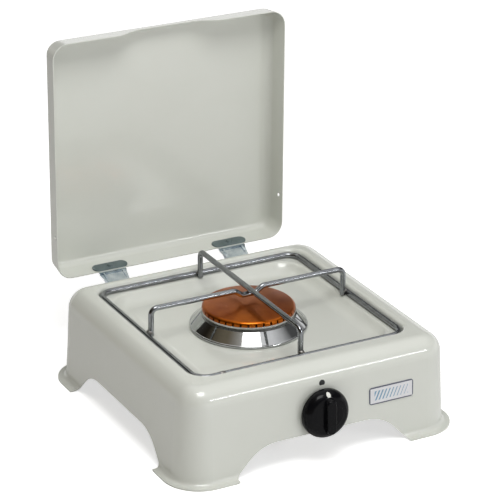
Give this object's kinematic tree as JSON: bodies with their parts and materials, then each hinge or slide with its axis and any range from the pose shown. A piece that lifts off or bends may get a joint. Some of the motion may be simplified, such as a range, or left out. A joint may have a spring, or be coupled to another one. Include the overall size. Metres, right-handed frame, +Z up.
{
  "type": "camping stove",
  "caption": "Table-top gas stove with a pressed enamel body, lift-off wire grate, round burner, push-and-turn knob and a hinged lid that stands open behind it.",
  "frame": {"origin": "on the table, under the centre of the whole part's box with its lid open", "axes": "+Z up, front with the knob towards -Y, +X to the right as seen from the front"},
  "size_m": [0.3222, 0.3782, 0.3512],
  "materials": {
    "enamel": "gloss vitreous enamel, warm off-white",
    "copper_enamel": "gloss copper-brown enamel",
    "cast_alloy": "smooth die casting",
    "bright_cone": "polished",
    "chromed_wire": "chromed steel wire",
    "black_plastic": "gloss moulded",
    "white_mark": "white inlay",
    "plate_print": null,
    "zinc_sheet": "bright zinc plated",
    "grey_plate": "dark grey coating",
    "plated_screw": "zinc plated screws, rivets, pins and springs",
    "tap_brass": "machined",
    "pipe_steel": "dull painted steel tube"
  },
  "bodies": {
    "stove": {"body_shell": "enamel", "nameplate": "plate_print", "burner_base": "cast_alloy", "burner_screws": "plated_screw", "burner_nuts": "plated_screw", "tap_cover": "tap_brass", "tap_screws": "plated_screw", "tap_body": "tap_brass", "injector": "tap_brass", "gas_pipe": "pipe_steel", "hose_nozzle": "tap_brass", "inlet_nut": "tap_brass", "hinge_base_left": "zinc_sheet", "hinge_base_right": "zinc_sheet", "hinge_pin_left": "plated_screw", "hinge_pin_right": "plated_screw", "hinge_rivets": "plated_screw"},
    "lid": {"lid": "enamel", "lid_bracket_left": "zinc_sheet", "lid_bracket_right": "zinc_sheet", "rivet_plate_left": "grey_plate", "rivet_plate_right": "grey_plate", "lid_rivet_left": "plated_screw", "lid_rivet_right": "plated_screw"},
    "plug": {"tap_plug": "tap_brass", "return_spring": "plated_screw"},
    "knob": {"knob": "black_plastic", "knob_mark": "white_mark", "tap_stem": "plated_screw"},
    "grate": {"grate_ring": "chromed_wire", "grate_long_arm": "chromed_wire", "grate_cross_arm": "chromed_wire"},
    "cap": {"burner_cap": "copper_enamel"},
    "drip_ring": {"drip_ring": "bright_cone"},
    "shutter": {"air_shutter": "zinc_sheet"}
  },
  "joints": [
    {"name": "lid_hinge", "type": "hinge", "parent": "stove", "child": "lid", "pos_m": [0, 0.13722, 0.076], "axis": [-1, 0, 0], "range_deg": [-90, 0]},
    {"name": "knob_turn", "type": "hinge", "parent": "stove", "child": "plug", "pos_m": [0, -0.16728, 0.052], "axis": [0, -0.9986, 0.0523], "range_deg": [0, 210]},
    {"name": "knob_push", "type": "slide", "parent": "plug", "child": "knob", "axis": [0, 0.9986, -0.0523], "range_m": [0, 0.003], "stiffness_N_per_m": 1500, "springref_m": -0.001, "deforming": ["return_spring"]},
    {"name": "grate_lift", "type": "slide", "parent": "stove", "child": "grate", "axis": [0, 0, 1], "range_m": [0, 0.12]},
    {"name": "cap_lift", "type": "slide", "parent": "stove", "child": "cap", "axis": [0, 0, 1], "range_m": [0, 0.06]},
    {"name": "drip_ring_lift", "type": "slide", "parent": "stove", "child": "drip_ring", "axis": [0, 0, 1], "range_m": [0, 0.03]},
    {"name": "shutter_turn", "type": "hinge", "parent": "stove", "child": "shutter", "pos_m": [0, -0.16728, 0.052], "axis": [0, -0.9986, 0.0523], "range_deg": [0, 40]}
  ],
  "couplings": [
    {"joint": "cap_lift", "follows": "grate_lift", "ratio": 0.5},
    {"joint": "drip_ring_lift", "follows": "grate_lift", "ratio": 0.25}
  ]
}
